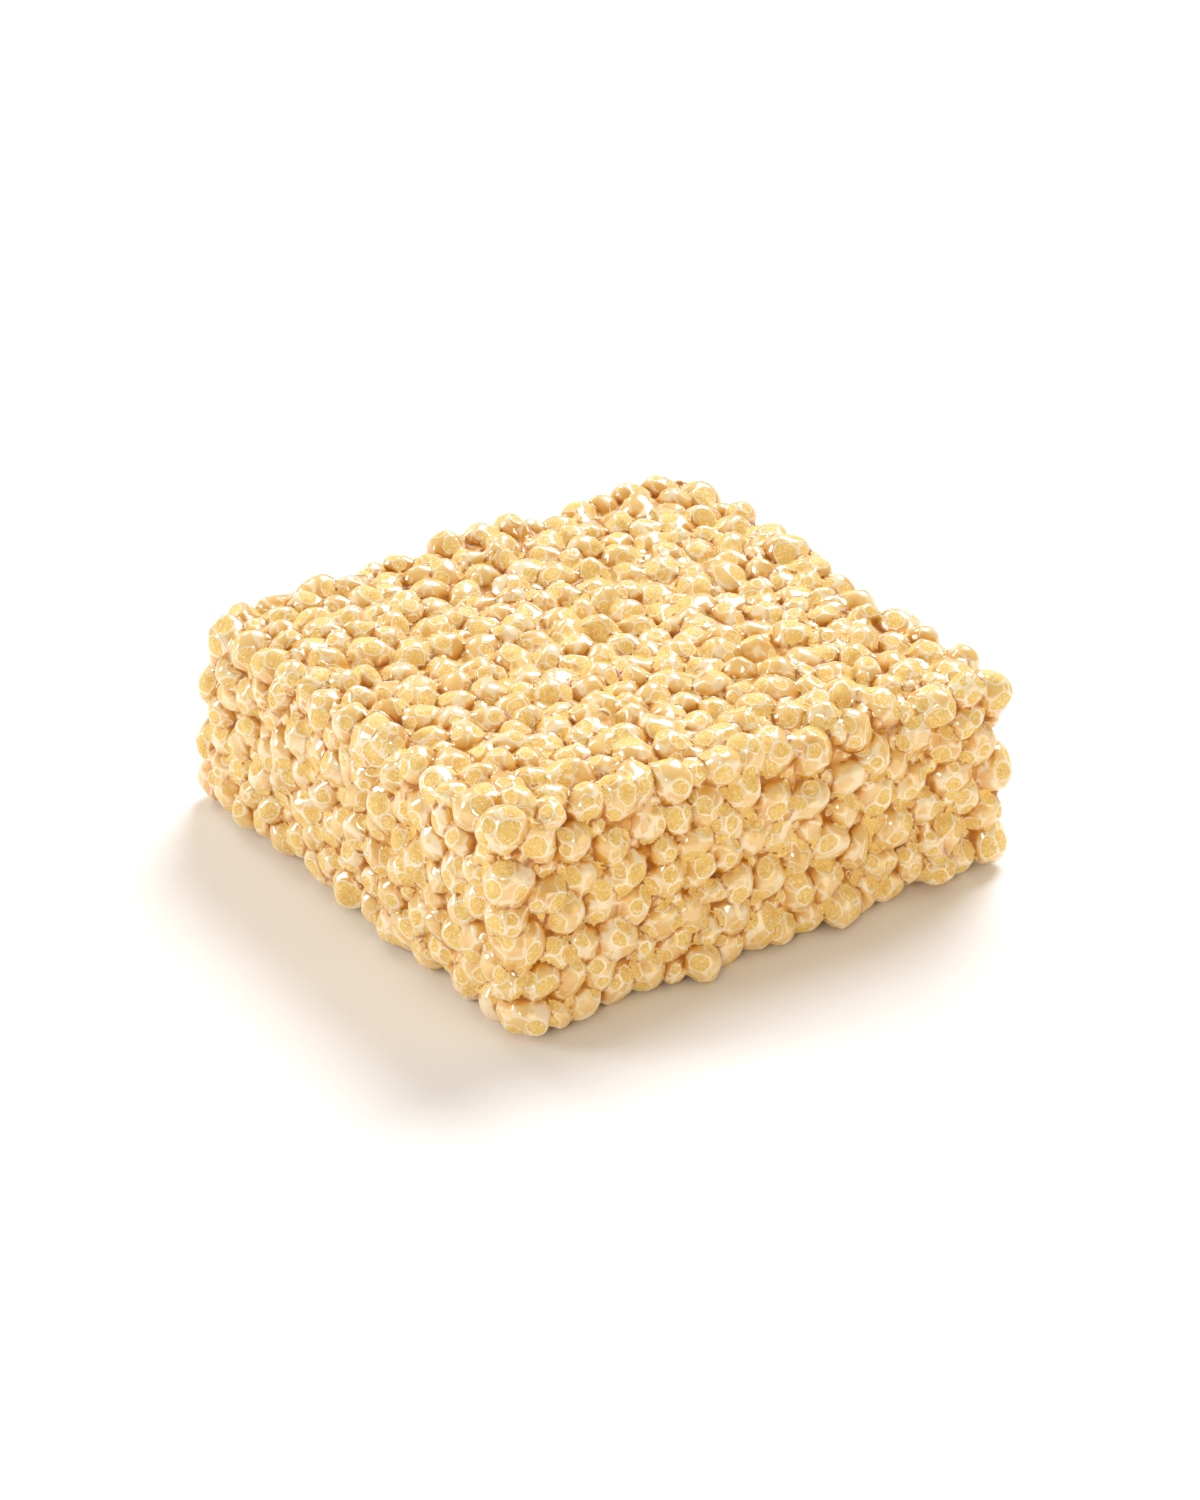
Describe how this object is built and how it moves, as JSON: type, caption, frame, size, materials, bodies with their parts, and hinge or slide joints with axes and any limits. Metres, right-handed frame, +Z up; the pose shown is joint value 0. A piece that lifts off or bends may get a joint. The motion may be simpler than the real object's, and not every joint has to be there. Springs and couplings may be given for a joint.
{
  "type": "protein puff bar",
  "caption": "Thick, nearly square slab of round toasted protein puffs, bound by a glossy cream-coloured syrup.",
  "frame": {"origin": "middle of the slab's outline, on the flat underside that rests on the table", "axes": "+X along the longer cut side, +Y along the shorter cut side, +Z up through the slab's thickness"},
  "size_m": [0.0675, 0.0664, 0.026],
  "materials": {
    "toasted puffs": "toasted grain puffs under a thin, glossy, cream-coloured syrup"
  },
  "bodies": {
    "root": {"puff_bar": "toasted puffs"}
  },
  "joints": []
}
